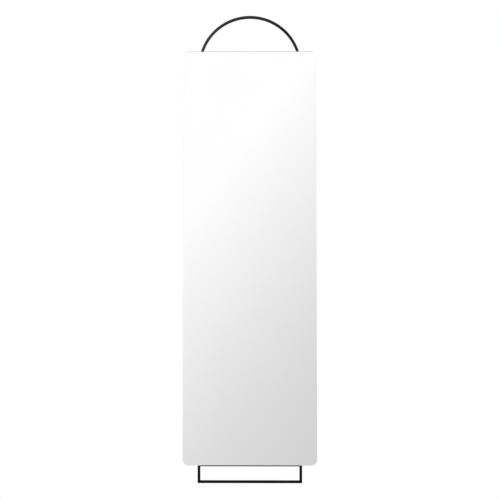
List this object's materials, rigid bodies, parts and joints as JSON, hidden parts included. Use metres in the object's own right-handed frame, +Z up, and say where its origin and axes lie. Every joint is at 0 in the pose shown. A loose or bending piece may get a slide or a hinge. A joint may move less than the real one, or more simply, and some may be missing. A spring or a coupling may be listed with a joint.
{
  "type": "wall mirror",
  "caption": "Tall frameless wall mirror with round corners, on a black bar frame that shows as an arch to hang it by above the pane and a square rail below it.",
  "frame": {"origin": "on the wall plane, in the middle of the width, at the height of the arch's underside, where a hook bears", "axes": "+Z up, +Y into the wall, +X to the right of a person who looks into the pane, which faces -Y"},
  "size_m": [0.45, 0.0262, 1.5868],
  "materials": {
    "mirror_glass": "polished",
    "safety_film": "satin",
    "foam_tape": "matte",
    "fibreboard": "matte",
    "powder_coat": "satin",
    "seat_rubber": "matte",
    "screw_steel": "satin",
    "bumper_rubber": "matte"
  },
  "bodies": {
    "root": {"mirror_glass": "mirror_glass", "safety_film": "safety_film", "backing_board": "fibreboard", "hanger_hoop": "powder_coat", "bottom_rail": "powder_coat", "glass_ledge": "powder_coat", "seat_strip": "seat_rubber", "board_screws": "screw_steel", "foam_tape_1": "foam_tape", "foam_tape_2": "foam_tape", "foam_tape_3": "foam_tape", "foam_tape_4": "foam_tape", "cross_strap_1": "powder_coat", "cross_strap_2": "powder_coat", "cross_strap_3": "powder_coat", "bumper_upper_left": "bumper_rubber", "bumper_upper_right": "bumper_rubber", "bumper_lower_left": "bumper_rubber", "bumper_lower_right": "bumper_rubber"}
  },
  "joints": []
}
